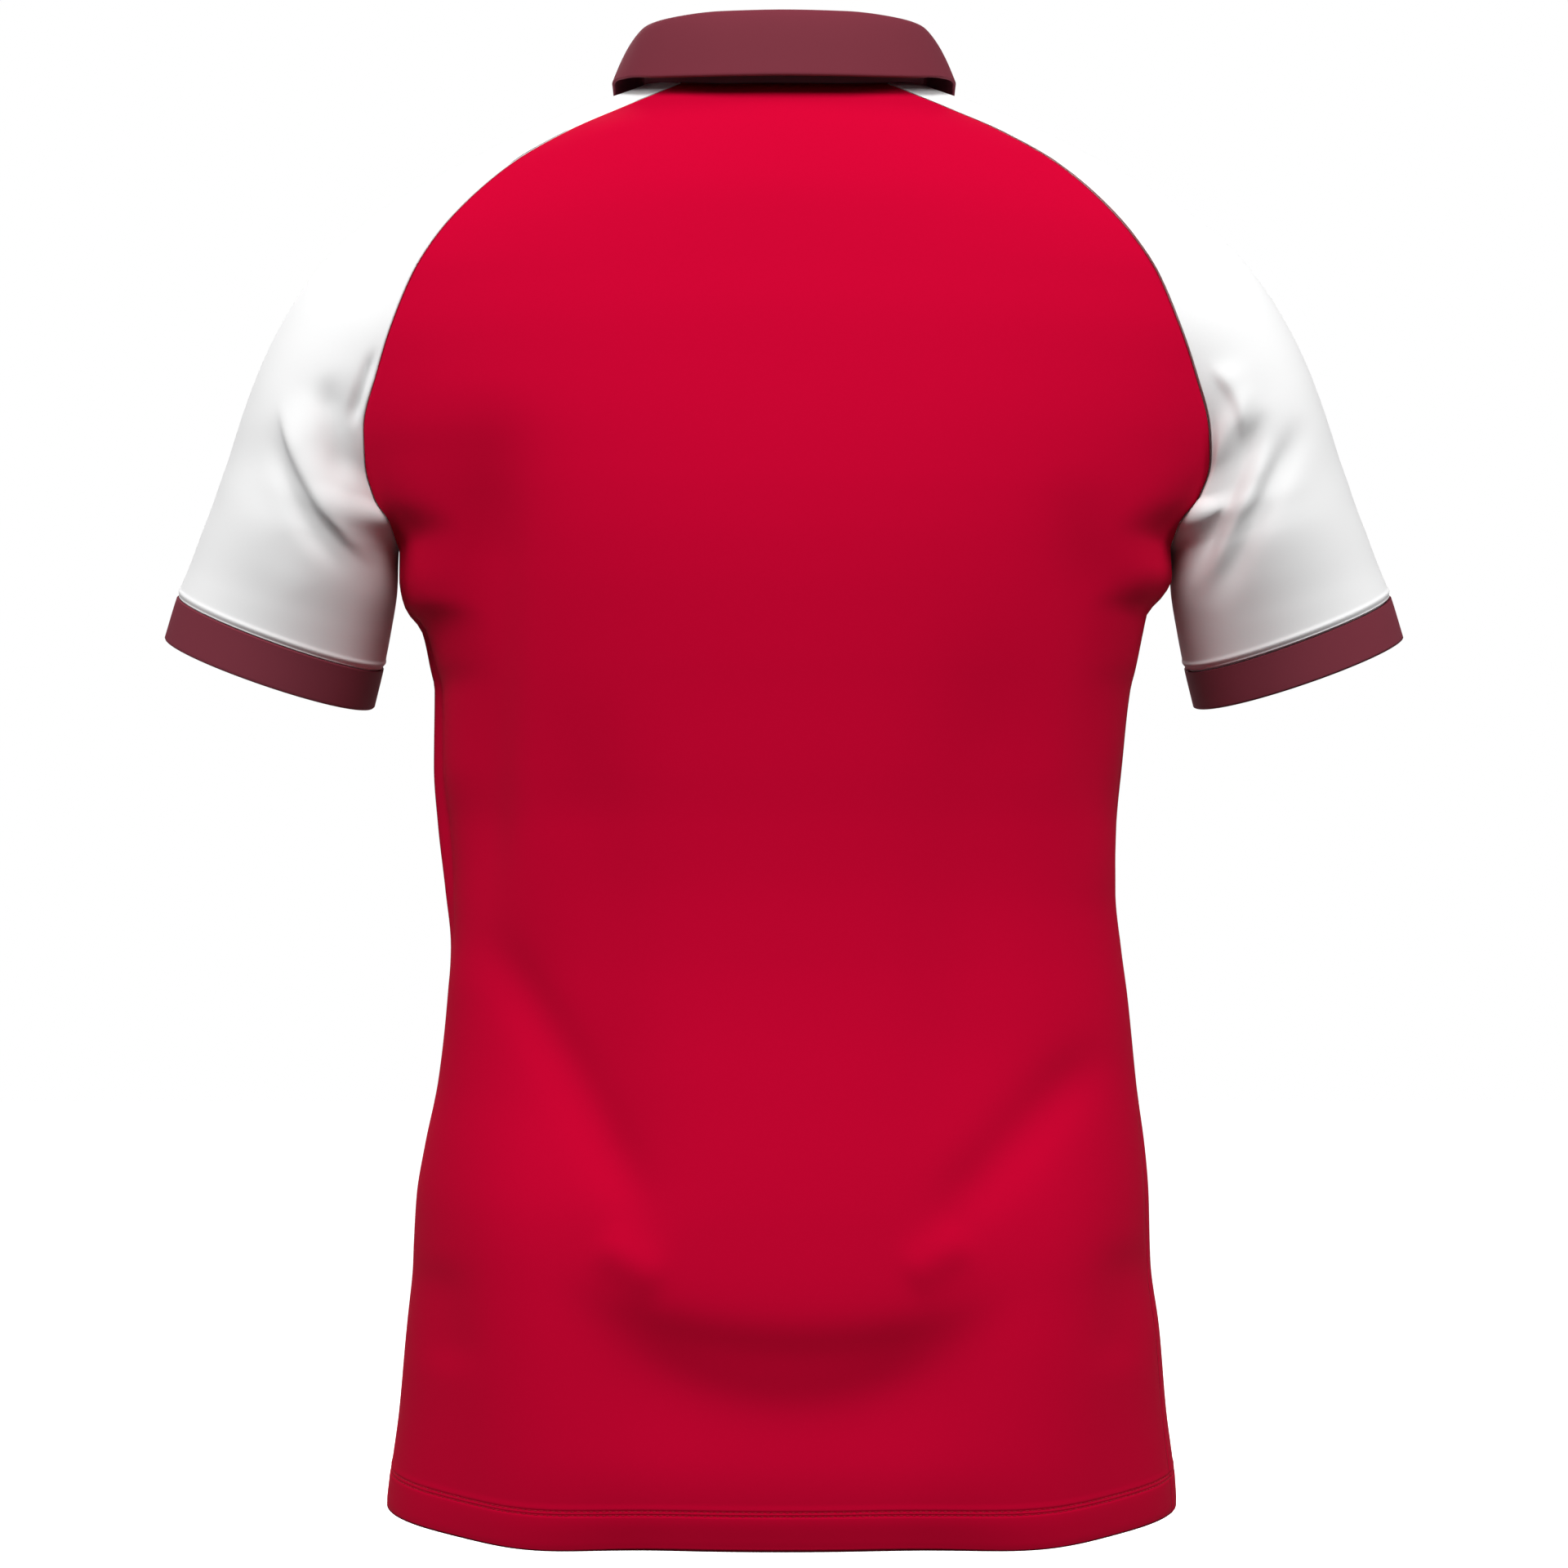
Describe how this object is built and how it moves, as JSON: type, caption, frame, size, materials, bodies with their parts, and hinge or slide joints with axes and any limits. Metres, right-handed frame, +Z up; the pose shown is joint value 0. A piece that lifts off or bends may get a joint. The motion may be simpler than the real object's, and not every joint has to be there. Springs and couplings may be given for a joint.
{
  "type": "polo shirt",
  "caption": "Short-sleeved knitted polo shirt with raglan sleeves, rib collar and cuffs and a buttoned placket, filled out as worn and open at neck, cuffs and hem.",
  "frame": {"origin": "middle of the neck opening, level with where each shoulder line meets the neck, where a wearer holds the shirt up", "axes": "+Z up, the front faces -Y, +X is the wearer's left"},
  "size_m": [0.64, 0.2482, 0.7448],
  "materials": {
    "red_knit": "matt fine knit",
    "white_knit": "matt fine knit",
    "maroon_rib": "matt rib knit",
    "button": "satin"
  },
  "bodies": {
    "root": {"back_panel": "red_knit", "front_panel": "red_knit", "placket_over": "red_knit", "placket_under": "red_knit", "sleeve_left": "white_knit", "sleeve_right": "white_knit", "cuff_left": "maroon_rib", "cuff_right": "maroon_rib", "collar": "maroon_rib", "button_1": "button", "button_2": "button", "button_3": "button"}
  },
  "joints": []
}
